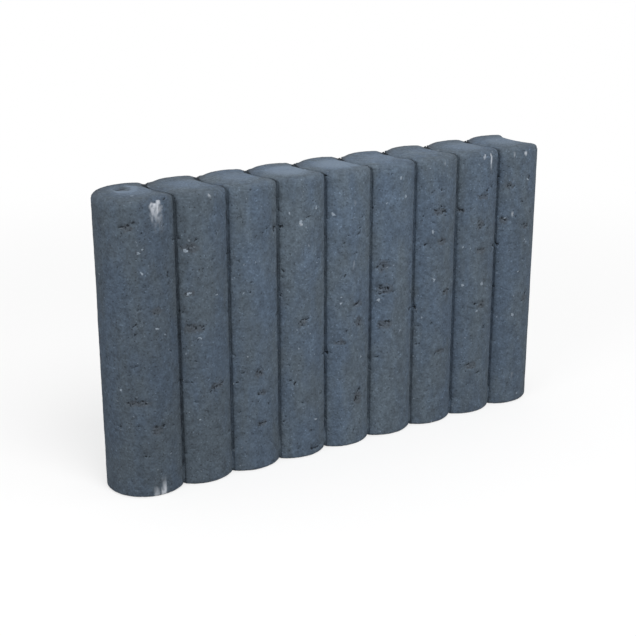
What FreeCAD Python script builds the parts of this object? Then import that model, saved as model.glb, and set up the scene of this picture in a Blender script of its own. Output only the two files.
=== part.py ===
import FreeCAD, Part
import math
import os
import sys

import Sketcher

# A palisade kerb block, cast in one piece from dyed, barely damp concrete.
# Nine round posts stand side by side and run into each other. The left end is a full round,
# and the right end is a hollow that takes the round end of the next block in the row.
# X runs along the block from the round end to the hollow, Y through its thickness, Z up.
# The origin is in the middle of the base. Inside the body the first post's axis is at X = 0,
# and the body's placement then moves the whole block to the middle.

OUT_FOLDER = "parts"
NODE_NAME = "palisade_block"

# name of the size, its value in millimetres (a plain count for post_count), what it is
SIZES = [
    ("post_count", 9, "round posts in one block"),
    ("laying_length", 500.0, "length of row that one block fills, from hollow to hollow"),
    ("block_height", 300.0, "overall height"),
    ("post_diameter", 80.0, "thickness of the block over the posts"),
    ("joint_gap", 0.5, "room all round the next block's round end in the hollow"),
    ("valley_radius", 3.0, "round in the bottom of each valley between two posts"),
    ("top_radius", 7.0, "round on the upper edge"),
    ("base_bevel", 1.5, "bevel on the lower edge"),
    ("joint_width", 2.5, "width of a mock joint, across the top and down the valleys"),
    ("joint_depth", 4.0, "depth of a mock joint below the top or behind the valley's floor"),
]

# lengths that follow from the sizes, as expressions over the sheet's cells
POST_RADIUS = "(sizes.post_diameter / 2)"
POST_SPACING = "(sizes.laying_length / sizes.post_count)"
HOLLOW_RADIUS = "(sizes.post_diameter / 2 + sizes.joint_gap)"
HALF_VALLEY = "sqrt(%s ^ 2 - (%s / 2) ^ 2)" % (POST_RADIUS, POST_SPACING)
# from the middle of the thickness to the floor of a valley, at the bottom of its round
VALLEY_FLOOR = "(sqrt((%s + sizes.valley_radius) ^ 2 - (%s / 2) ^ 2) - sizes.valley_radius)" % (
    POST_RADIUS, POST_SPACING,
)
# from the last post's axis to the line through the hollow's two tips, where its circle meets the post's
TIP_REACH = "((%s ^ 2 + %s ^ 2 - %s ^ 2) / (2 * %s))" % (
    POST_SPACING, POST_RADIUS, HOLLOW_RADIUS, POST_SPACING,
)

CLEARANCE = 1.0  # how far a cutter stands proud of the face that it cuts
EDGE_TOLERANCE = 0.01


def make_sheet(doc):
    """The driving dimensions, one row each: name, value, meaning."""
    sheet = doc.addObject("Spreadsheet::Sheet", "sizes")
    for row, (name, value, meaning) in enumerate(SIZES, start=1):
        sheet.set("A%d" % row, name)
        sheet.set("B%d" % row, "%.10g" % value)
        sheet.set("C%d" % row, meaning)
        sheet.setAlias("B%d" % row, name)
    doc.recompute()
    return sheet


def origin_feature(body, role):
    return [f for f in body.Origin.OriginFeatures if f.Role == role][0]


def add_sketch(body, name, plane_role):
    sketch = body.newObject("Sketcher::SketchObject", name)
    sketch.AttachmentSupport = [(origin_feature(body, plane_role), "")]
    sketch.MapMode = "FlatFace"
    return sketch


def value_of(sketch, expression):
    """The length that an expression gives with the sheet's present sizes."""
    return float(sketch.evalExpression(expression))


def bind(sketch, kind, geometry, expression):
    """Adds a driving constraint to the sketch and ties it to the sheet."""
    value = value_of(sketch, expression)
    index = sketch.addConstraint(Sketcher.Constraint(kind, *geometry, value))
    sketch.setExpression("Constraints[%d]" % index, expression)


def add_circle(sketch, centre_x, radius):
    """A circle on the sketch's X axis. Both are expressions; centre_x is None at the origin."""
    start_x = 0.0 if centre_x is None else value_of(sketch, centre_x)
    centre = FreeCAD.Vector(start_x, 0, 0)
    upright = FreeCAD.Vector(0, 0, 1)
    round_edge = Part.Circle(centre, upright, value_of(sketch, radius))
    circle = sketch.addGeometry(round_edge, False)
    if centre_x is None:
        sketch.addConstraint(Sketcher.Constraint("Coincident", circle, 3, -1, 1))
    else:
        sketch.addConstraint(Sketcher.Constraint("PointOnObject", circle, 3, -1))
        bind(sketch, "DistanceX", (-1, 1, circle, 3), centre_x)
    bind(sketch, "Radius", (circle,), radius)


def add_outline(sketch, corners):
    """A closed outline of straight lines. Each corner is two expressions, along the sketch's X and Y."""
    starts = [FreeCAD.Vector(value_of(sketch, x), value_of(sketch, y), 0) for x, y in corners]
    ends = starts[1:] + starts[:1]
    lines = [
        sketch.addGeometry(Part.LineSegment(start, end), False)
        for start, end in zip(starts, ends)
    ]
    for place, (line, (x, y)) in enumerate(zip(lines, corners)):
        sketch.addConstraint(Sketcher.Constraint("Coincident", lines[place - 1], 2, line, 1))
        bind(sketch, "DistanceX", (-1, 1, line, 1), x)
        bind(sketch, "DistanceY", (-1, 1, line, 1), y)


def add_pattern(body, name, original, count, length):
    """Repeats a feature along X. count and length are expressions."""
    pattern = body.newObject("PartDesign::LinearPattern", name)
    pattern.Originals = [original]
    pattern.Direction = (origin_feature(body, "X_Axis"), [""])
    pattern.setExpression("Length", length)
    pattern.setExpression("Occurrences", count)
    body.Tip = pattern
    return pattern


def add_rounding(body, name, base, edge_names, radius):
    """Rounds the named edges of the base feature."""
    fillet = body.newObject("PartDesign::Fillet", name)
    fillet.Base = (base, edge_names)
    fillet.setExpression("Radius", radius)
    return fillet


def edges_where(feature, test):
    """Names of the feature's edges whose bounding box passes the test."""
    return [
        "Edge%d" % number
        for number, edge in enumerate(feature.Shape.Edges, start=1)
        if test(edge.BoundBox)
    ]


def cast_posts(doc, body):
    """The row of posts: one round post, repeated at the post spacing."""
    plan = add_sketch(body, "post_plan", "XY_Plane")
    add_circle(plan, None, POST_RADIUS)
    post = body.newObject("PartDesign::Pad", "post")
    post.Profile = plan
    post.setExpression("Length", "sizes.block_height")
    doc.recompute()
    posts = add_pattern(
        body, "posts", post, "sizes.post_count", "%s * (sizes.post_count - 1)" % POST_SPACING
    )
    doc.recompute()
    return posts


def round_valleys(doc, body, posts, sheet):
    """The small round in the bottom of each valley, where the mould's ridge between two posts is blunt."""
    radius = sheet.post_diameter / 2
    spacing = sheet.laying_length / sheet.post_count
    half_valley = math.sqrt(radius**2 - (spacing / 2) ** 2)

    def is_valley(box):
        at_valley = abs(abs(box.Center.y) - half_valley) < EDGE_TOLERANCE
        return at_valley and box.YLength < EDGE_TOLERANCE and box.ZLength > sheet.block_height / 2

    names = edges_where(posts, is_valley)
    if len(names) != 2 * (int(sheet.post_count) - 1):
        sys.exit("found %d valleys between the posts" % len(names))
    valleys = add_rounding(body, "valley_rounds", posts, names, "sizes.valley_radius")
    doc.recompute()
    return valleys


def cut_hollow(doc, body):
    """The hollow end, where the next block's first post would stand."""
    plan = add_sketch(body, "hollow_plan", "XY_Plane")
    add_circle(plan, "sizes.laying_length", HOLLOW_RADIUS)
    hollow = body.newObject("PartDesign::Pocket", "hollow")
    hollow.Profile = plan
    hollow.Type = "ThroughAll"
    hollow.Reversed = True
    doc.recompute()
    return hollow


def finish_rims(doc, body, hollow, sheet):
    """The large round on the upper rim and the small bevel on the lower rim, hollow included."""
    height = sheet.block_height
    upper = edges_where(hollow, lambda box: box.ZMin > height - EDGE_TOLERANCE)
    top = add_rounding(body, "top_round", hollow, upper, "sizes.top_radius")
    doc.recompute()
    lower = edges_where(top, lambda box: box.ZMax < EDGE_TOLERANCE)
    base = body.newObject("PartDesign::Chamfer", "base_bevel")
    base.Base = (top, lower)
    base.setExpression("Size", "sizes.base_bevel")
    doc.recompute()


def rib_outline(middle, face, outwards):
    """Corners of the steel rib that presses a mock joint: two straight sides and a right-angled tip.
    It stands across face, which is the sketch's Y of the pressed surface, on the side outwards, 1 or -1."""
    left = "%s - sizes.joint_width / 2" % middle
    right = "%s + sizes.joint_width / 2" % middle
    clear = "(%s + %s) * %d" % (face, "sizes.joint_width + %s" % CLEARANCE, outwards)
    shoulder = "(%s - sizes.joint_depth + sizes.joint_width / 2) * %d" % (face, outwards)
    tip = "(%s - sizes.joint_depth) * %d" % (face, outwards)
    return [(left, clear), (left, shoulder), (middle, tip), (right, shoulder), (right, clear)]


def score_top(doc, body):
    """Mock joints across the top: each follows the left edge of a post from valley to valley,
    so that one block looks like a row of separate posts."""
    profile = add_sketch(body, "top_rib", "XZ_Plane")
    add_outline(profile, rib_outline("(%s - %s)" % (POST_SPACING, POST_RADIUS), "sizes.block_height", 1))
    foot = FreeCAD.Vector(value_of(profile, POST_SPACING), 0, 0)
    head = foot + FreeCAD.Vector(0, value_of(profile, "sizes.block_height"), 0)
    turning = profile.addGeometry(Part.LineSegment(foot, head), True)
    profile.addConstraint(Sketcher.Constraint("Vertical", turning))
    profile.addConstraint(Sketcher.Constraint("PointOnObject", turning, 1, -1))
    bind(profile, "DistanceX", (-1, 1, turning, 1), POST_SPACING)
    bind(profile, "DistanceY", (turning, 1, turning, 2), "sizes.block_height")
    joint = body.newObject("PartDesign::Groove", "top_joint")
    joint.Profile = profile
    joint.ReferenceAxis = (profile, ["Axis0"])
    joint.Midplane = True
    joint.setExpression("Angle", "2 * asin(%s / %s)" % (HALF_VALLEY, POST_RADIUS))
    doc.recompute()
    repeat_along_row(doc, body, "top_joints", joint)


def score_valleys(doc, body):
    """The same joint carried down the two valleys under it, from the top to the base."""
    plan = add_sketch(body, "valley_ribs", "XY_Plane")
    for outwards in (1, -1):
        add_outline(plan, rib_outline("(%s / 2)" % POST_SPACING, VALLEY_FLOOR, outwards))
    joint = body.newObject("PartDesign::Pocket", "valley_joint")
    joint.Profile = plan
    joint.Type = "ThroughAll"
    joint.Reversed = True
    doc.recompute()
    repeat_along_row(doc, body, "valley_joints", joint)


def repeat_along_row(doc, body, name, joint):
    """One joint between each post and the next."""
    add_pattern(
        body, name, joint, "sizes.post_count - 1", "%s * (sizes.post_count - 2)" % POST_SPACING
    )
    doc.recompute()


def place_in_middle(doc, body):
    """Puts the middle of the base at the origin. The block reaches from the first post's
    rounded side to the tips of the hollow."""
    tips = "%s * (sizes.post_count - 1) + %s" % (POST_SPACING, TIP_REACH)
    body.setExpression("Placement.Base.x", "(%s - (%s)) / 2" % (POST_RADIUS, tips))
    doc.recompute()


def check(doc, body, sheet):
    """Stops the script if anything failed or the block isn't one solid of the right size."""
    for item in doc.Objects:
        if "Invalid" in item.State or "Error" in item.State:
            sys.exit("%s failed: %s" % (item.Name, item.State))
    shape = body.Shape
    if shape.isNull() or not shape.isValid() or len(shape.Solids) != 1:
        sys.exit("the block isn't one valid solid")
    box = shape.optimalBoundingBox(False, False)
    print("box", [round(v, 3) for v in (box.XMin, box.XMax, box.YMin, box.YMax, box.ZMin, box.ZMax)])
    print("volume, litres", round(shape.Volume / 1e6, 4), "faces", len(shape.Faces))


def main():
    doc = FreeCAD.newDocument("palisade")
    sheet = make_sheet(doc)
    body = doc.addObject("PartDesign::Body", NODE_NAME)
    body.Label = NODE_NAME
    doc.recompute()
    posts = cast_posts(doc, body)
    round_valleys(doc, body, posts, sheet)
    hollow = cut_hollow(doc, body)
    finish_rims(doc, body, hollow, sheet)
    score_top(doc, body)
    score_valleys(doc, body)
    place_in_middle(doc, body)
    check(doc, body, sheet)
    os.makedirs(OUT_FOLDER, exist_ok=True)
    body.Shape.exportStep(os.path.join(OUT_FOLDER, body.Label + ".step"))


main()
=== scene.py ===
import math
import random

import bpy
import numpy as np
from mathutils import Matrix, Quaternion, Vector, kdtree, noise


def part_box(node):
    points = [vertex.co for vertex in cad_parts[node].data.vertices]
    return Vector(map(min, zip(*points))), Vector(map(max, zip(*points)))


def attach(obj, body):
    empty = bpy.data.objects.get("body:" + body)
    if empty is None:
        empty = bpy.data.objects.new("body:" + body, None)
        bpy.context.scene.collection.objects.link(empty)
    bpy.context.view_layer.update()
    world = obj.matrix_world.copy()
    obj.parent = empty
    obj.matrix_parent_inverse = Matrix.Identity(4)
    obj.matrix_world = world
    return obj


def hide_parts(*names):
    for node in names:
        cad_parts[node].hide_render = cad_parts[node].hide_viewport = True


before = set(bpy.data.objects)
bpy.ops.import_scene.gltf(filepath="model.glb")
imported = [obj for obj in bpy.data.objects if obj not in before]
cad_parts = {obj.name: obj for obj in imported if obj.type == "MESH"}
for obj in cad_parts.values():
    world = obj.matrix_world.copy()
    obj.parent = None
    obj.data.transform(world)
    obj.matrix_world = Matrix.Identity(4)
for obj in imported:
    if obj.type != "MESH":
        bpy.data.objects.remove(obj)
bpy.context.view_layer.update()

# The casting: one body of dyed dry-cast concrete, nine posts side by side, rammed
# into a steel mould, struck at once and left to cure. The frame gives its shape, and
# this section gives it the skin of such concrete: sandy, uneven and torn in places.
MM = 0.001
NODE = "palisade_block"
POSTS = 9
LAYING_LENGTH = 500 * MM
SPACING = LAYING_LENGTH / POSTS
POST_RADIUS = 40 * MM
low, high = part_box(NODE)
FIRST_AXIS = low.x + POST_RADIUS
HEIGHT = high.z
MERGE_DISTANCE = 0.01 * MM
VOXEL = 0.9 * MM
MOST_TRIANGLES = 194_000


def select_only(piece):
    bpy.ops.object.select_all(action="DESELECT")
    piece.select_set(True)
    bpy.context.view_layer.objects.active = piece


def apply_modifier(piece, kind, **settings):
    modifier = piece.modifiers.new(kind, kind)
    for name, value in settings.items():
        setattr(modifier, name, value)
    bpy.ops.object.modifier_apply(modifier=modifier.name)


def read_points(piece, quantity):
    """Every point's place ("co") or its normal ("normal"), a row each."""
    values = np.empty(len(piece.data.vertices) * 3)
    piece.data.vertices.foreach_get(quantity, values)
    return values.reshape(-1, 3)


def smooth_step(values, start, end):
    """0 at start and 1 at end, eased between them; start may be the larger."""
    t = np.clip((values - start) / (end - start), 0.0, 1.0)
    return t * t * (3.0 - 2.0 * t)


def clouds(name, size, depth):
    texture = bpy.data.textures.new(name, "CLOUDS")
    texture.noise_scale = size
    texture.noise_depth = depth
    return texture


casting = bpy.data.objects.new("casting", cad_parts[NODE].data.copy())
bpy.context.scene.collection.objects.link(casting)
select_only(casting)
bpy.ops.object.mode_set(mode="EDIT")
bpy.ops.mesh.select_all(action="SELECT")
bpy.ops.mesh.remove_doubles(threshold=MERGE_DISTANCE)
bpy.ops.object.mode_set(mode="OBJECT")
apply_modifier(casting, "REMESH", mode="VOXEL", voxel_size=VOXEL)

# The remesh numbers its points in a new order each run, so random points are drawn
# from a sorted list.
in_order = np.lexsort(read_points(casting, "co").T)

# The mould's walls bow a little and sand stands in the skin. All relief goes
# inwards from the true size.
for name, size, depth, sunk_by in (
    ("sway", 45 * MM, 1, 0.6 * MM),
    ("lumps", 11 * MM, 2, 0.3 * MM),
    ("sand", 3 * MM, 2, 0.3 * MM),
):
    apply_modifier(
        casting, "DISPLACE", texture=clouds(name, size, depth), texture_coords="LOCAL",
        mid_level=0.0, strength=-sunk_by,
    )

# The post that owns each point, where the point lies from that post's axis, and how
# far it is from the joint: on top a post's circle runs on over the post before it.
CIRCLE_SLACK = 0.5 * MM
points = read_points(casting, "co")
normals = read_points(casting, "normal")
along_row = points[:, 0] - FIRST_AXIS
deep = points[:, 1]
from_axes = [np.hypot(along_row - post * SPACING, deep) for post in range(POSTS)]
owner = np.clip(np.round(along_row / SPACING), 0, POSTS - 1).astype(int)
to_joint = np.full(len(points), POST_RADIUS)
for post in range(1, POSTS):
    owner[from_axes[post] < POST_RADIUS] = post
    on_left = along_row < post * SPACING
    on_left *= from_axes[post - 1] < POST_RADIUS + CIRCLE_SLACK
    edge = np.where(on_left, from_axes[post] - POST_RADIUS, POST_RADIUS)
    to_joint = np.where(np.abs(edge) < np.abs(to_joint), edge, to_joint)
across = along_row - owner * SPACING
reach = np.hypot(across, deep)
sunk = np.zeros(len(points))


def noise_at(numbers, size):
    """Noise with clouds of a size, at the points with these numbers."""
    return np.array([noise.noise(Vector(points[index]) / size) for index in numbers])


# The tamper's plate leaves each top faintly domed, and the lip of the mould a
# fine broken line low on the rounding.
CROWN = 1.3 * MM
CROWN_FADE = 12 * MM
LIP_BELOW_TOP = 5.2 * MM
LIP_HALF_WIDTH = 1.5 * MM
LIP_DEPTH = 0.5 * MM
LIP_WANDER = 0.8 * MM
LIP_WANDER_LENGTH = 20 * MM
LIP_BREAK_LENGTH = 9 * MM
LIP_SEARCH = 3 * MM
on_top = smooth_step(normals[:, 2], 0.5, 0.9) * (points[:, 2] > HEIGHT / 2)
crown = CROWN * np.minimum(reach / POST_RADIUS, 1.0) ** 2
crown *= smooth_step(points[:, 2], HEIGHT - CROWN_FADE, HEIGHT)

lip = np.zeros(len(points))
for index in np.nonzero(np.abs(points[:, 2] - HEIGHT + LIP_BELOW_TOP) < LIP_SEARCH)[0]:
    spot = Vector(points[index])
    level = HEIGHT - LIP_BELOW_TOP + LIP_WANDER * noise.noise(spot / LIP_WANDER_LENGTH)
    presence = min(1.0, max(0.0, 0.75 + 1.2 * noise.noise(spot / LIP_BREAK_LENGTH)))
    lip[index] = presence * max(0.0, 1.0 - abs(spot.z - level) / LIP_HALF_WIDTH)
lip *= smooth_step(reach, POST_RADIUS - 4 * MM, POST_RADIUS - 2 * MM)
sunk += LIP_DEPTH * lip

# Tears, where the mix did not close against the steel: post, degrees round it
# from the front, height, width, thickness (mm) and slope (degrees).
TEARS = [
    (1, -38, 274, 12, 2.5, 12), (1, -30, 270, 5, 2, -30), (1, -78, 246, 9, 1.6, -40),
    (1, -29, 193, 14, 1.5, 0), (1, -30, 178, 7, 3, 25), (1, -33, 137, 10, 2.5, 22),
    (1, -30, 101, 20, 1.6, 4), (1, -45, 99, 10, 2, -6), (1, -8, 73, 11, 2.5, 18),
    (1, 4, 74, 4, 3, 0), (1, -20, 44, 6, 3, -20), (1, 22, 224, 3, 7, 0), (1, -12, 216, 7, 2, 4),
    (1, 38, 258, 4, 4, 0), (1, 38, 217, 4, 5, 0), (1, 38, 112, 4, 5, 0),
    (2, 17, 258, 5, 4.5, 10), (2, -42, 255, 6, 3, -10), (2, -18, 252, 6, 2, 8),
    (2, -40, 182, 8, 2, -4), (2, -30, 163, 6, 2, 0), (2, -10, 163, 4, 2, 30),
    (2, 3, 100, 4, 4, -50), (2, 19, 103, 5, 3, 35), (2, 11, 101, 17, 2, 6),
    (2, -33, 109, 12, 1.8, 3), (2, -22, 89, 6, 2, -8), (2, 34, 48, 5, 6, 0),
    (2, 40, 174, 5, 6, 0), (2, 40, 203, 3, 4, 0),
    (3, 7, 250, 9, 2, 6), (3, 16, 252, 3, 2.5, 30), (3, -42, 220, 3, 8, 0),
    (3, -36, 98, 4, 3, 0), (3, -1, 106, 6, 5, 10), (3, 1, 85, 6, 1.8, -40),
    (3, -14, 191, 4, 2, 0), (3, 2, 51, 10, 2, 10), (3, 40, 253, 5, 4, 0), (3, 40, 161, 4, 4, 0),
    (4, -41, 251, 5, 6, 0), (4, -40, 180, 5, 6, 40), (4, -4, 153, 11, 3.5, -6),
    (4, -9, 146, 4, 2, 0), (4, 12, 274, 5, 2, 30), (4, -30, 105, 4, 2, 0),
    (4, -28, 88, 5, 2.5, 10), (4, 16, 8, 16, 4, 0), (4, 40, 211, 4, 5, 0),
    (5, 9, 232, 13, 2.2, 48), (5, 13, 238, 4, 3, 20), (5, -12, 190, 7, 1.5, 45),
    (5, 8, 158, 12, 2.5, 28), (5, 13, 136, 10, 1.6, 60), (5, -18, 119, 14, 1.8, 2),
    (5, -41, 108, 10, 3.5, -4), (5, 14, 62, 6, 5, -30), (5, 10, 52, 9, 4, 40),
    (5, 16, 249, 8, 1.5, 5), (5, 40, 93, 4, 5, 0),
    (6, -27, 170, 7, 4.5, -35), (6, -17, 168, 5, 6, -20), (6, -8, 170, 4, 3, 70),
    (6, -22, 163, 16, 2, 8), (6, 34, 156, 4, 4, 30), (6, -24, 191, 4, 4, 0),
    (6, -17, 131, 6, 2, 20), (6, 34, 262, 6, 1.8, 0), (6, 40, 251, 3, 3, 0),
    (7, -12, 243, 6, 3, -30), (7, 6, 240, 8, 3, -14), (7, -1, 265, 8, 2, -30),
    (7, -20, 262, 6, 1.6, 40), (7, -42, 137, 5, 6, 30), (7, 14, 151, 8, 4.5, 8),
    (7, 22, 153, 4, 3, 50), (7, -25, 207, 5, 3, 0), (7, 4, 207, 9, 3, 10), (7, 8, 84, 10, 2, 4),
    (7, -34, 96, 8, 2, 0),
    (8, 20, 259, 5, 4, 12), (8, 8, 257, 6, 2.5, 40), (8, -37, 237, 8, 3, -30),
    (8, -6, 224, 6, 2, 60), (8, -3, 217, 6, 2, -50), (8, -4, 191, 5, 2, 10),
    (8, -5, 130, 8, 2, 5), (8, -14, 59, 8, 2.5, -4), (8, 12, 100, 5, 5, 0),
    (8, 4, 47, 7, 3, 20), (8, 40, 189, 4, 5, 0),
    (9, 12, 263, 5, 7, 20), (9, -29, 258, 8, 2, 30), (9, -14, 255, 5, 2, -30),
    (9, -33, 219, 9, 3, 0), (9, 8, 210, 10, 2, -20), (9, 20, 130, 4, 5, 0),
    (9, 14, 122, 5, 2, 30), (9, -41, 190, 5, 6, 0),
]
# Open skin round them, rough and browner: post, degrees, height, width, high.
OPEN_SKIN = [
    (1, -36, 272, 15, 9), (1, -6, 70, 15, 14), (1, -30, 99, 34, 8), (1, 2, 190, 16, 10),
    (2, -25, 245, 24, 13), (2, 11, 102, 22, 9), (2, -22, 165, 26, 12), (2, -28, 200, 14, 8),
    (3, -1, 105, 12, 11), (3, 2, 51, 16, 8), (3, 4, 84, 16, 8), (4, -7, 150, 12, 8),
    (5, 8, 157, 16, 8), (5, 11, 53, 14, 20), (5, -20, 118, 20, 8), (5, 11, 138, 14, 18),
    (6, -19, 167, 24, 15), (6, -24, 192, 18, 18), (6, -20, 128, 22, 12),
    (7, -2, 242, 22, 11), (7, 4, 208, 18, 11), (7, 16, 151, 12, 8), (7, 6, 84, 18, 7),
    (8, -4, 220, 12, 13), (8, 0, 250, 22, 9), (8, -37, 236, 12, 9), (8, 2, 190, 18, 9),
    (8, -10, 58, 20, 11), (8, 6, 128, 14, 12), (9, -24, 257, 16, 8), (9, -31, 218, 12, 10),
    (9, 10, 208, 16, 8), (9, 16, 125, 12, 14),
]
# Pale stones of the mix that reach the skin: post, degrees, height, width.
GRAINS = [
    (1, -23, 256, 2.2), (1, -21, 249, 4), (1, -18, 229, 3.5), (1, 1, 229, 2), (1, 1, 173, 5),
    (1, 12, 166, 3), (1, -75, 184, 2), (1, -18, 100, 2), (2, -30, 243, 4), (2, 12, 249, 2),
    (2, -28, 201, 5), (2, -15, 155, 4), (2, -12, 148, 2.5), (2, 14, 196, 3), (2, -13, 95, 2),
    (3, -23, 191, 2.5), (3, -22, 220, 2), (3, 2, 222, 2), (3, 12, 224, 2), (3, -20, 126, 2),
    (4, -26, 264, 3.5), (4, -10, 253, 5), (4, 16, 267, 4.5), (4, 18, 209, 5), (4, -18, 225, 2),
    (5, -32, 255, 6), (5, -20, 168, 3), (5, -20, 161, 3), (5, 16, 98, 3), (5, -18, 60, 2),
    (6, 2, 284, 4), (6, -20, 259, 3), (6, 13, 263, 3), (6, -31, 155, 5), (6, 6, 118, 3),
    (6, -18, 190, 2.5), (6, -8, 193, 2.5), (7, -14, 221, 5.5), (7, -2, 222, 3),
    (7, -12, 168, 5), (7, 20, 154, 2.5), (8, -29, 153, 5), (8, 4, 152, 4.5), (8, -32, 196, 3),
    (8, -20, 194, 3.5), (8, -5, 121, 4), (9, -2, 158, 3), (9, -9, 108, 4.5),
    (9, 10, 262, 4), (9, -30, 221, 4),
]
# Open skin has one small tear, where a crumb fell out, for each CRUMB_AREA (mm2).
CRUMB_AREA = 16
HIDDEN_PATCHES = 34
STRAY_TEARS = 640
STRAY_GRAINS = 560
TEAR_DEPTH = 1.7 * MM
OPEN_DEPTH = 0.8 * MM
GRAIN_STANDS = 0.25 * MM
TEAR_WARP_LENGTH = 2.6 * MM
TEAR_UNEVEN_LENGTH = 1.9 * MM
ROUGH_LENGTH = 1.8 * MM
random.seed(9)

skin_tree = kdtree.KDTree(len(points))
for index, point in enumerate(points):
    skin_tree.insert(point, index)
skin_tree.balance()
tear_and_painted_shade = np.zeros(len(points))
painted_lip_highlight = np.zeros(len(points))
opened = np.zeros(len(points))
grain = np.zeros(len(points))


def place_on(post, degrees, height):
    """The skin's place at so many degrees round a post, at a height in mm."""
    turn = math.radians(degrees)
    axis_x = FIRST_AXIS + (post - 1) * SPACING
    return Vector((
        axis_x + POST_RADIUS * math.sin(turn), -POST_RADIUS * math.cos(turn), height * MM
    ))


def skin_round(place, distance, slope, ragged):
    """Numbers of the points round a place, and how far along and over it they lie.

    The distance, the ragged edge and what comes back are in mm, the slope in degrees.
    """
    _, middle, _ = skin_tree.find(place)
    normal = Vector(normals[middle])
    level = Vector((0, 0, 1)).cross(normal) if abs(normal.z) < 0.9 else Vector((1, 0, 0))
    along = Quaternion(normal, math.radians(slope)) @ level.normalized()
    over = normal.cross(along)
    found = skin_tree.find_range(points[middle], distance * MM)
    numbers = np.array([index for _, index, _ in found])
    offsets = (points[numbers] - points[middle]) / MM
    warp = np.array([
        noise.noise_vector(Vector(points[index]) / TEAR_WARP_LENGTH) for index in numbers
    ])
    return numbers, offsets @ along + ragged * warp[:, 0], offsets @ over + ragged * warp[:, 1]


def tear(place, wide, thick, slope, depth=1.0):
    """Paints a bowed, uneven tear, darker inside and darkened further with painted shade,
    and a painted highlight on the lip under it.
    """
    numbers, along, over = skin_round(place, 0.6 * wide + 1.5 * thick, slope, ragged=1.3)
    over += random.uniform(-0.16, 0.16) * wide * (2 * along / wide) ** 2
    half = 0.5 * thick * np.sqrt(np.clip(1 - (2 * along / wide) ** 2, 0, 1))
    half *= 0.6 + 1.5 * noise_at(numbers, TEAR_UNEVEN_LENGTH)
    inside = np.clip((half - np.abs(over)) / 0.6 + 0.25, 0, 1) * (half > 0)
    tear_and_painted_shade[numbers] = np.maximum(tear_and_painted_shade[numbers], depth * inside)
    # The lip under a tear is painted pale, a painted highlight.
    below = np.clip(1 - np.abs(over + half + 0.7) / 0.8, 0, 1) * (half > 0.3)
    painted_lip_highlight[numbers] = np.maximum(painted_lip_highlight[numbers], depth * below)


def open_skin(place, wide, tall):
    """Paints a rough patch with small tears scattered in it."""
    numbers, along, over = skin_round(place, 0.75 * max(wide, tall), 0, ragged=3.2)
    inside = smooth_step(np.hypot(2 * along / wide, 2 * over / tall), 1.15, 0.35)
    opened[numbers] = np.maximum(opened[numbers], inside)
    for _ in range(int(wide * tall / CRUMB_AREA)):
        shift = Vector((random.gauss(0, 0.22) * wide, 0, random.gauss(0, 0.22) * tall)) * MM
        tear(
            place + shift, random.uniform(1.6, 4.5), random.uniform(1.2, 2.2),
            random.uniform(-70, 70), random.uniform(0.35, 0.85),
        )


def set_grain(place, wide, strength=1.0):
    """Paints a pale stone, more or less flat."""
    ragged = 0.7 + 0.35 * wide
    numbers, along, over = skin_round(place, 1.3 * wide, random.uniform(-60, 60), ragged)
    flatness = random.uniform(1.0, 2.2)
    inside = np.clip((0.5 * wide - np.hypot(along, flatness * over)) / 0.7 + 0.4, 0, 1)
    grain[numbers] = np.maximum(grain[numbers], strength * inside)


for post, degrees, height, wide, thick, slope in TEARS:
    tear(place_on(post, degrees, height), wide, thick, slope, random.uniform(0.6, 1.0))
for post, degrees, height, wide, tall in OPEN_SKIN:
    open_skin(place_on(post, degrees, height), wide, tall)
for post, degrees, height, wide in GRAINS:
    set_grain(place_on(post, degrees, height), wide, random.uniform(0.7, 1.0))

# The back has open patches and tears in random places, and all of the skin, that of
# the hollow end too, has small tears and stones.
for _ in range(HIDDEN_PATCHES):
    turn = random.uniform(120, 240)
    post = random.randint(1, POSTS)
    height = random.uniform(8, 280)
    wide = random.uniform(10, 24)
    tall = random.uniform(7, 14)
    open_skin(place_on(post, turn, height), wide, tall)
    for _ in range(random.randint(1, 3)):
        place = place_on(
            post, turn + random.uniform(-9, 9), height + random.uniform(-0.3, 0.4) * tall
        )
        tear(place, random.uniform(4, 13), random.uniform(1.6, 4), random.uniform(-40, 40))
for _ in range(STRAY_TEARS):
    place = points[in_order[random.randrange(len(points))]]
    tear(
        place, random.uniform(2, 6), random.uniform(1.2, 2.0), random.uniform(-60, 60),
        random.uniform(0.35, 0.95),
    )
for _ in range(STRAY_GRAINS):
    place = points[in_order[random.randrange(len(points))]]
    set_grain(place, random.uniform(1.3, 3.0), random.uniform(0.4, 0.9))

rough = np.zeros(len(points))
in_patch = np.nonzero(opened)[0]
rough[in_patch] = 0.5 + noise_at(in_patch, ROUGH_LENGTH)
sunk += OPEN_DEPTH * opened * rough + TEAR_DEPTH * tear_and_painted_shade - GRAIN_STANDS * grain

# Lime bloomed or rubbed off on the skin: post, degrees, height where the streak is
# strong, height where it has faded out, width (mm) and strength.
LIME = [
    (1, 5, 297, 262, 17, 0.9), (1, 9, 292, 244, 18, 0.55), (1, 1, -4, 34, 8, 0.95),
    (1, -10, -4, 26, 8, 0.7), (2, 6, 297, 286, 4, 0.6), (5, 2, 267, 255, 3, 0.4),
    (5, -1, 252, 242, 3, 0.4), (5, 0, 204, 190, 3, 0.45), (7, 4, 296, 284, 3.5, 0.5),
    (8, 0, 296, 285, 4, 0.8), (8, 15, 297, 268, 2.8, 0.95), (9, -19, 296, 278, 3, 0.6),
    (9, 2, 296, 283, 4, 0.9), (9, -18, 230, 217, 3, 0.7), (9, -3, 40, 8, 5, 0.4),
    (9, -18, 264, 246, 3, 0.35), (4, -10, 255, 248, 5, 0.7), (3, -8, 296, 288, 3, 0.2),
]
LIME_FRAYED = 5
lime = np.zeros(len(points))
degrees_round = np.degrees(np.arctan2(across, -deep))
frayed_height = points[:, 2] / MM
patchy = np.ones(len(points))
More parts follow.
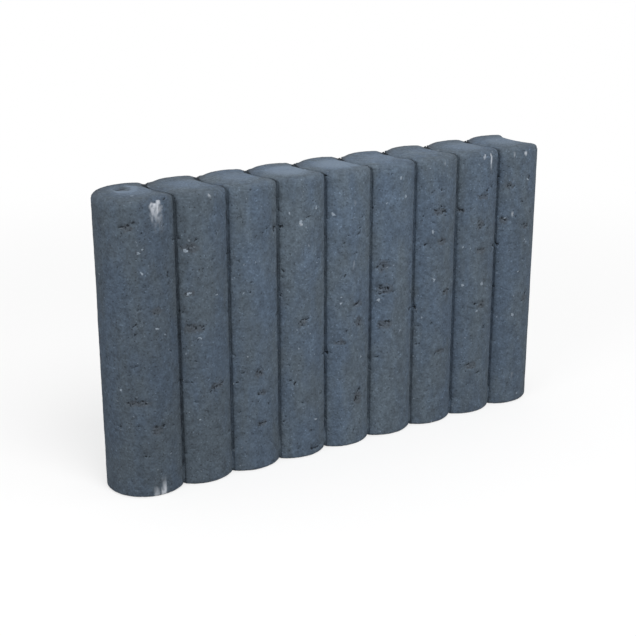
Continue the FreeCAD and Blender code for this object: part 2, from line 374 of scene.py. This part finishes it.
for index in np.nonzero(deep < 0)[0]:
    spot = Vector(points[index]) / MM
    fray = noise.noise(Vector((spot.x / 4, spot.y / 4, spot.z / 12)))
    frayed_height[index] += LIME_FRAYED * fray
    patchy[index] = 0.95 + 0.7 * noise.noise(Vector((spot.x / 3, spot.y / 3, spot.z / 5)))
for post, degrees, strong_at, faded_at, wide, strength in LIME:
    aside = np.radians(degrees_round - degrees) * POST_RADIUS / MM
    band = smooth_step(np.abs(aside), 0.5 * wide + 1.2, 0.2 * wide)
    end = math.copysign(2, strong_at - faded_at)
    fade = smooth_step(frayed_height, faded_at, strong_at - end)
    fade *= smooth_step(frayed_height, strong_at + end, strong_at - end)
    lime = np.maximum(lime, strength * band * fade * (owner == post - 1))
lime *= np.clip(patchy, 0, 1) * (1 - on_top)

# Each top's flat face, polished by the tamper, is smoother than its shoulder, and a
# painted sheen makes it paler, most of all towards the front. The first has a dent left
# in handling, with a dash in it and a pale ring round it.
POLISH_AND_SHEEN = [0.55, 0.5, 0.5, 0.95, 0.95, 0.5, 0.4, 0.6, 0.65]
MARK_PLACE = Vector((FIRST_AXIS - 6 * MM, 9 * MM, HEIGHT))
MARK_RADIUS = 13 * MM
MARK_DEPTH = 0.9 * MM
MARK_WARP = 3.5 * MM
MARK_WARP_LENGTH = 9 * MM
DASH_HALF_LENGTH = 6.5 * MM
DASH_HALF_WIDTH = 3.2 * MM
from_middle = np.hypot(across / (32 * MM), (deep + 4 * MM) / (29 * MM))
# Painted sheen: the tops' faces are painted paler, as a highlight.
polish_and_painted_sheen = smooth_step(from_middle, 1.15, 0.3) * on_top * np.array(POLISH_AND_SHEEN)[owner]
mark_side = points[:, 0] - MARK_PLACE.x
mark_deep = deep - MARK_PLACE.y
from_mark = np.hypot(mark_side, 0.8 * mark_deep)
near_mark = np.nonzero(from_mark < 2 * MARK_RADIUS)[0]
from_mark[near_mark] += MARK_WARP * noise_at(near_mark, MARK_WARP_LENGTH)
mark = smooth_step(from_mark, MARK_RADIUS, 3 * MM) * on_top
dash = smooth_step(np.abs(mark_side + 2 * MM), DASH_HALF_LENGTH, 4 * MM) * on_top
dash *= smooth_step(
    np.abs(mark_deep - 2 * MM - 0.2 * mark_side), DASH_HALF_WIDTH, 1.2 * MM
)
ring = smooth_step(np.abs(from_mark - 0.8 * MARK_RADIUS), 4.5 * MM, 0.5 * MM) * on_top
ring *= 0.35 + 0.65 * smooth_step(mark_deep - mark_side, 8 * MM, -4 * MM)
polish_and_painted_sheen = np.clip(polish_and_painted_sheen + 0.8 * ring - 0.2 * mark, 0, 1)
sunk += MARK_DEPTH * (mark + dash)
# The dash is painted dark like a tear, with painted shade.
tear_and_painted_shade = np.maximum(tear_and_painted_shade, 0.9 * dash)

# Painted shade darkens each top's rim, most of all at the back, turned from the lamps.
painted_rim_shade = smooth_step(reach, 27 * MM, 35 * MM)
painted_rim_shade *= 0.4 + 0.6 * smooth_step(deep, 4 * MM, 20 * MM)
painted_rim_shade *= smooth_step(points[:, 2], HEIGHT - 6 * MM, HEIGHT - 4 * MM)

# Each post's brightness is given: darker in the first two posts, palest in the fifth
# and sixth. Painted shade darkens the skin towards the foot, painted light its top.
BRIGHTNESS_BY_POST = [0.76, 0.87, 0.97, 0.99, 1.05, 1.06, 0.96, 0.98, 0.95]
axes = FIRST_AXIS + SPACING * np.arange(POSTS)
brightness_and_painted_shade = np.interp(points[:, 0], axes, BRIGHTNESS_BY_POST)
brightness_and_painted_shade *= np.interp(points[:, 2], [0, 0.5 * HEIGHT, HEIGHT], [0.96, 0.98, 1.05])

# The mock joints: how deep a point lies in the groove on top or down a valley.
VALLEY_FLOOR = math.sqrt(POST_RADIUS ** 2 - (SPACING / 2) ** 2)
JOINT_HALF = 1.5 * MM
JOINT_SHADE_LENGTH = 9 * MM
TOP_ROUND = 7 * MM
MIDDLE_POST = (POSTS - 1) / 2
inside = POST_RADIUS - np.minimum.reduce(from_axes)
fall = np.clip(TOP_ROUND - inside, 0, TOP_ROUND)
top_level = HEIGHT - TOP_ROUND + np.sqrt(TOP_ROUND ** 2 - fall ** 2)
below_top = np.clip(top_level - points[:, 2], 0, None)
top_joint = smooth_step(below_top, 0.5 * MM, 1.8 * MM) * (np.abs(to_joint) < JOINT_HALF)
top_joint *= points[:, 2] > HEIGHT - 9 * MM
from_valley = np.abs(np.mod(along_row, SPACING) - SPACING / 2)
behind_floor = np.clip(VALLEY_FLOOR - np.abs(deep), 0, None)
valley_joint = smooth_step(behind_floor, 0.6 * MM, 2.4 * MM) * (from_valley < JOINT_HALF)
valley_joint *= np.abs(along_row - MIDDLE_POST * SPACING) < MIDDLE_POST * SPACING
valley_joint *= (points[:, 2] < HEIGHT - 3 * MM) * (points[:, 2] > 2 * MM)
# Painted shade down the valleys, uneven along them.
valley_shade_breakup = np.ones(len(points))
in_valley = np.nonzero(valley_joint)[0]
valley_shade_breakup[in_valley] = 0.9 + 0.6 * noise_at(in_valley, JOINT_SHADE_LENGTH)

# Towards the back a top falls to the joint, and painted shade makes the joint wider and
# darker there. Crumbs of the mix choke its ends and the feet of the valleys.
EDGE_FALL = 1.9 * MM
EDGE_WIDTH = 9 * MM
CHOKED = 0.85
to_back = smooth_step(deep, -2 * MM, 20 * MM)
joint_edge = smooth_step(
    np.abs(to_joint), (2.1 + 1.4 * to_back) * MM, (1 + to_back) * MM
)
joint_edge *= points[:, 2] > HEIGHT - 9 * MM
dark_valley = 0.45 * np.clip(valley_shade_breakup, 0, 1.3) * valley_joint
# Painted shade in the joints, beside them at the back, and in the lip line.
painted_joint_shade = np.maximum.reduce([top_joint, dark_valley, 0.9 * joint_edge, 0.4 * lip])
painted_joint_shade *= 1 - 0.85 * smooth_step(points[:, 2], 26 * MM, 8 * MM)
before_joint = smooth_step(to_joint, EDGE_WIDTH, 0) * (to_joint > -1.5 * MM) * to_back
before_joint *= smooth_step(points[:, 2], HEIGHT - 9 * MM, HEIGHT - 3 * MM)
choked = CHOKED * top_joint * smooth_step(np.abs(deep), 17 * MM, 26 * MM)
foot_choked = CHOKED * valley_joint * smooth_step(points[:, 2], 26 * MM, 8 * MM)

# The hollow end's tips are too thin for deep marks.
TIP_LENGTH = 7 * MM
sunk *= smooth_step(points[:, 0], high.x, high.x - TIP_LENGTH)

shaped = points - normals * sunk[:, None]
shaped[:, 1] += np.sign(deep) * foot_choked * behind_floor
shaped[:, 2] += choked * below_top - crown - EDGE_FALL * before_joint
casting.data.vertices.foreach_set("co", shaped.ravel())
casting.data.update()
for name, values in (
    ("tear_and_painted_shade", tear_and_painted_shade), ("painted_lip_highlight", painted_lip_highlight), ("opened", opened), ("grain", grain),
    ("lime", lime), ("polish_and_painted_sheen", polish_and_painted_sheen), ("painted_rim_shade", painted_rim_shade), ("painted_joint_shade", painted_joint_shade),
    ("brightness_and_painted_shade", brightness_and_painted_shade),
):
    painted = casting.data.attributes.new(name, "FLOAT", "POINT")
    painted.data.foreach_set("value", values)

# Triangles are saved on plain skin and kept where a mark is.
FAINTEST_KEPT = 0.05
MARKS_WEIGH = 0.002
kept = np.maximum.reduce([tear_and_painted_shade, grain, 0.5 * lime, 0.4 * painted_joint_shade, 0.6 * ring])
marks = casting.vertex_groups.new(name="marks")
for index in np.nonzero(kept > FAINTEST_KEPT)[0]:
    marks.add([int(index)], float(min(kept[index], 1.0)), "REPLACE")
triangles = sum(len(face.vertices) - 2 for face in casting.data.polygons)
apply_modifier(
    casting, "DECIMATE", ratio=MOST_TRIANGLES / triangles, vertex_group="marks",
    invert_vertex_group=True, vertex_group_factor=MARKS_WEIGH,
)
casting.vertex_groups.clear()

# The reduction may throw a point out of the true size, and this takes it back.
reduced = read_points(casting, "co")
casting.data.vertices.foreach_set("co", np.clip(reduced, low, high).ravel())
casting.data.update()
bpy.ops.object.shade_smooth()


def linear(hex_colour):
    """A written sRGB colour as the linear values that a shader takes."""
    channels = [int(hex_colour[i:i + 2], 16) / 255 for i in (1, 3, 5)]
    return [
        c / 12.92 if c <= 0.04045 else ((c + 0.055) / 1.055) ** 2.4 for c in channels
    ] + [1.0]


def add_node(node_tree, kind, settings=None, inputs=None):
    """Adds a node with its options, and sets or links its inputs by name or number."""
    node = node_tree.nodes.new(kind)
    for name, value in (settings or {}).items():
        setattr(node, name, value)
    for key, value in (inputs or {}).items():
        if isinstance(value, bpy.types.NodeSocket):
            node_tree.links.new(value, node.inputs[key])
        else:
            node.inputs[key].default_value = value
    return node


# Dyed dry-cast concrete, struck from steel: matt and blue-black, with upright clouds
# where the dye is thin, a sandy grain, pin holes and pale specks. Open skin is browner.
BALL_CORE = 0.35
SKIN_ROUGHNESS = 0.92
POLISHED_ROUGHNESS = 0.7
HOLE_DEPTH = 0.5 * MM
SAND_DEPTH = 0.5 * MM
BUMP_STRENGTH = 0.7
concrete = bpy.data.materials.new("dyed_dry_cast_concrete")
concrete.use_nodes = True
shader = concrete.node_tree
shader.nodes.clear()
in_block = add_node(shader, "ShaderNodeTexCoord").outputs["Object"]

upright = add_node(shader, "ShaderNodeMapping", inputs={
    "Vector": in_block, "Scale": (1.0, 1.0, 0.4),
})
dye = add_node(shader, "ShaderNodeTexNoise", inputs={
    "Vector": upright.outputs["Vector"], "Scale": 1 / (38 * MM), "Detail": 5.0,
    "Roughness": 0.6,
})
thin_dye = add_node(shader, "ShaderNodeMapRange", {"interpolation_type": "SMOOTHSTEP"}, {
    "Value": dye.outputs["Fac"], "From Min": 0.36, "From Max": 0.62,
})
colour = add_node(shader, "ShaderNodeMix", {"data_type": "RGBA"}, {
    0: thin_dye.outputs["Result"], 6: linear("#4C5B6C"), 7: linear("#505C67"),
}).outputs[2]

# Lighter and darker paste: strike marks down the posts, clouds of paste, and the
# sand grains, drawn about twice as coarse as they are so that they show.
# This starts from each post's given brightness, with the painted shade towards the foot.
light = add_node(shader, "ShaderNodeAttribute", {"attribute_name": "brightness_and_painted_shade"}).outputs["Fac"]
for size, stretch, detail, swing in (
    (9 * MM, 0.12, 3.0, 0.07),
    (16 * MM, 1.0, 3.0, 0.09),
    (6 * MM, 1.0, 2.0, 0.22),
    (2.2 * MM, 1.0, 2.0, 0.28),
):
    stretched = add_node(shader, "ShaderNodeMapping", inputs={
        "Vector": in_block, "Scale": (1.0, 1.0, stretch),
    })
    pattern = add_node(shader, "ShaderNodeTexNoise", inputs={
        "Vector": stretched.outputs["Vector"], "Scale": 1 / size, "Detail": detail,
    })
    level = add_node(shader, "ShaderNodeMapRange", inputs={
        "Value": pattern.outputs["Fac"], "From Min": 0.25, "From Max": 0.75,
        "To Min": 1 - swing, "To Max": 1 + swing,
    })
    light = add_node(
        shader, "ShaderNodeMath", {"operation": "MULTIPLY"},
        {0: light, 1: level.outputs["Result"]},
    ).outputs[0]
sand = pattern.outputs["Fac"]

# Pin holes and pale specks are small balls set through the mix, cut by the skin. The
# pin holes have bump dents and are darkened with painted shade; the specks are pale.
ball_shades = {}
for name, cell, radius, moved, shade in (
    ("pin_holes", 4.2 * MM, 1.0 * MM, 0.0, 0.56),
    ("specks", 4.4 * MM, 0.9 * MM, 3.7 * MM, 1.6),
):
    shifted = add_node(shader, "ShaderNodeMapping", inputs={
        "Vector": in_block, "Location": (moved, moved, moved),
    })
    balls = add_node(shader, "ShaderNodeTexVoronoi", inputs={
        "Vector": shifted.outputs["Vector"], "Scale": 1 / cell,
    })
    level = add_node(shader, "ShaderNodeMapRange", {"interpolation_type": "SMOOTHSTEP"}, {
        "Value": balls.outputs["Distance"], "From Min": BALL_CORE * radius / cell,
        "From Max": radius / cell, "To Min": shade, "To Max": 1.0,
    })
    light = add_node(
        shader, "ShaderNodeMath", {"operation": "MULTIPLY"},
        {0: light, 1: level.outputs["Result"]},
    ).outputs[0]
    ball_shades[name] = level.outputs["Result"]

colour = add_node(shader, "ShaderNodeVectorMath", {"operation": "SCALE"}, {
    0: colour, "Scale": light,
}).outputs[0]

# What was painted on the skin: how far the colour goes over to each mark's own.
fine = add_node(shader, "ShaderNodeTexNoise", inputs={
    "Vector": in_block, "Scale": 1 / (1.4 * MM), "Detail": 2.0,
}).outputs["Fac"]
stroked = add_node(shader, "ShaderNodeMapping", inputs={
    "Vector": in_block, "Scale": (1.0, 1.0, 0.1),
})
strokes = add_node(shader, "ShaderNodeTexNoise", inputs={
    "Vector": stroked.outputs["Vector"], "Scale": 1 / (1.6 * MM), "Detail": 3.0,
}).outputs["Fac"]
amounts = {}
for name, breaker, start, end, most, hex_colour in (
    # Painted sheen on the tops' faces.
    ("polish_and_painted_sheen", sand, 0.1, 1.5, 0.6, "#76879B"),
    # Painted shade on the tops' rims.
    ("painted_rim_shade", sand, 0.1, 1.5, 0.6, "#363C44"),
    ("opened", fine, 0.25, 1.3, 0.5, "#42464B"),
    # Painted highlight on the lips under the tears.
    ("painted_lip_highlight", fine, 0.6, 1.5, 0.45, "#8E99A6"),
    ("grain", fine, 0.45, 1.4, 0.8, "#94A0AD"),
    # The tears' own darker inside, deepened with painted shade.
    ("tear_and_painted_shade", fine, 0.4, 1.2, 0.9, "#1F262E"),
    # Painted shade in the mock joints and the lip line.
    ("painted_joint_shade", fine, 0.25, 0.9, 0.8, "#1F2831"),
    ("lime", strokes, 0.3, 1.75, 0.9, "#CDD2DA"),
):
    painted = add_node(shader, "ShaderNodeAttribute", {"attribute_name": name})
    broken = add_node(shader, "ShaderNodeMath", {"operation": "MULTIPLY_ADD"}, {
        0: painted.outputs["Fac"], 1: breaker, 2: painted.outputs["Fac"],
    })
    amount = add_node(shader, "ShaderNodeMapRange", {"interpolation_type": "SMOOTHSTEP"}, {
        "Value": broken.outputs[0], "From Min": start, "From Max": end, "To Max": most,
    })
    colour = add_node(shader, "ShaderNodeMix", {"data_type": "RGBA"}, {
        0: amount.outputs["Result"], 6: colour, 7: linear(hex_colour),
    }).outputs[2]
    amounts[name] = amount.outputs["Result"]

roughness = add_node(shader, "ShaderNodeMapRange", inputs={
    "Value": amounts["polish_and_painted_sheen"], "To Min": SKIN_ROUGHNESS, "To Max": POLISHED_ROUGHNESS,
})
dents = add_node(shader, "ShaderNodeBump", inputs={
    "Height": ball_shades["pin_holes"], "Distance": HOLE_DEPTH, "Strength": BUMP_STRENGTH,
})
relief = add_node(shader, "ShaderNodeBump", inputs={
    "Height": sand, "Distance": SAND_DEPTH, "Strength": BUMP_STRENGTH,
    "Normal": dents.outputs["Normal"],
})
surface = add_node(shader, "ShaderNodeBsdfPrincipled", inputs={
    "Base Color": colour, "Roughness": roughness.outputs["Result"],
    "Normal": relief.outputs["Normal"],
})
add_node(shader, "ShaderNodeOutputMaterial", inputs={"Surface": surface.outputs["BSDF"]})

casting.data.materials.clear()
casting.data.materials.append(concrete)
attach(casting, "root")
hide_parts(NODE)


# The floor: a sheet of matt studio paper. The camera sees it near white with the
# block's faint shadow, fading to plain white away from the block.
FLOOR_SIZE = 8.0
SHADOW_SHARE = 0.35
FADE_START, FADE_END = 0.45, 1.3
bpy.ops.object.select_all(action="DESELECT")
bpy.ops.mesh.primitive_plane_add(size=FLOOR_SIZE, location=(0.0, 0.0, 0.0))
floor = bpy.context.active_object
floor.name = "floor"
paper = bpy.data.materials.new("matt_studio_paper")
paper.use_nodes = True
shader = paper.node_tree
shader.nodes.clear()
on_floor = add_node(shader, "ShaderNodeTexCoord").outputs["Object"]
ray = add_node(shader, "ShaderNodeLightPath")
from_block = add_node(shader, "ShaderNodeVectorMath", {"operation": "LENGTH"}, {0: on_floor})
plain = add_node(shader, "ShaderNodeMapRange", {"interpolation_type": "SMOOTHSTEP"}, {
    "Value": from_block.outputs["Value"], "From Min": FADE_START, "From Max": FADE_END,
    "To Min": 1 - SHADOW_SHARE, "To Max": 1.0,
})
grey_paper = add_node(shader, "ShaderNodeBsdfDiffuse", inputs={"Color": linear("#9A9A9A")})
pale_paper = add_node(shader, "ShaderNodeBsdfDiffuse", inputs={"Color": linear("#F4F4F4")})
white = add_node(shader, "ShaderNodeEmission", inputs={"Color": linear("#FFFFFF")})
seen = add_node(shader, "ShaderNodeMixShader", inputs={
    0: plain.outputs["Result"], 1: pale_paper.outputs[0], 2: white.outputs[0],
})
mixed = add_node(shader, "ShaderNodeMixShader", inputs={
    0: ray.outputs["Is Camera Ray"], 1: grey_paper.outputs[0], 2: seen.outputs[0],
})
add_node(shader, "ShaderNodeOutputMaterial", inputs={"Surface": mixed.outputs[0]})
floor.data.materials.append(paper)


# The light: an even white surround, a large soft lamp in front of the block and
# above it, and a weaker one to either side.
SURROUND = 0.58
LAMP_AIM = Vector((0.0, 0.0, 0.15))
LAMPS = (
    ("soft_lamp", Vector((-0.2, -1.55, 2.3)), 1.5, 41.0),
    ("left_lamp", Vector((-2.0, -0.75, 0.9)), 1.2, 15.0),
    ("right_lamp", Vector((1.7, -1.1, 0.8)), 1.2, 6.0),
)
world = bpy.data.worlds.new("studio")
bpy.context.scene.world = world
world.use_nodes = True
shader = world.node_tree
shader.nodes.clear()
ray = add_node(shader, "ShaderNodeLightPath")
surround = add_node(shader, "ShaderNodeBackground", inputs={
    "Color": linear("#FFFFFF"), "Strength": SURROUND,
})
backdrop = add_node(shader, "ShaderNodeBackground", inputs={
    "Color": linear("#FFFFFF"), "Strength": 1.0,
})
mixed = add_node(shader, "ShaderNodeMixShader", inputs={
    0: ray.outputs["Is Camera Ray"], 1: surround.outputs[0], 2: backdrop.outputs[0],
})
add_node(shader, "ShaderNodeOutputWorld", inputs={"Surface": mixed.outputs[0]})

for name, stands, size, power in LAMPS:
    bpy.ops.object.light_add(type="AREA", location=stands)
    lamp = bpy.context.active_object
    lamp.name = name
    lamp.data.shape = "DISK"
    lamp.data.size = size
    lamp.data.energy = power
    lamp.rotation_euler = (LAMP_AIM - stands).to_track_quat("-Z", "Y").to_euler()


# The camera: to the left of the block's front and above it, as in the photograph.
CAMERA_PLACE = (-0.708, -1.097, 0.581)
CAMERA_DOWN = 18.93
CAMERA_TURN = 32.4
CAMERA_LENS = 73.9
CAMERA_SENSOR = 36.0
bpy.ops.object.camera_add(location=CAMERA_PLACE)
camera = bpy.context.active_object
camera.rotation_euler = (math.radians(90 - CAMERA_DOWN), 0.0, math.radians(-CAMERA_TURN))
camera.data.sensor_width = CAMERA_SENSOR
camera.data.lens = CAMERA_LENS
bpy.context.scene.camera = camera
bpy.context.scene.view_settings.view_transform = "Standard"
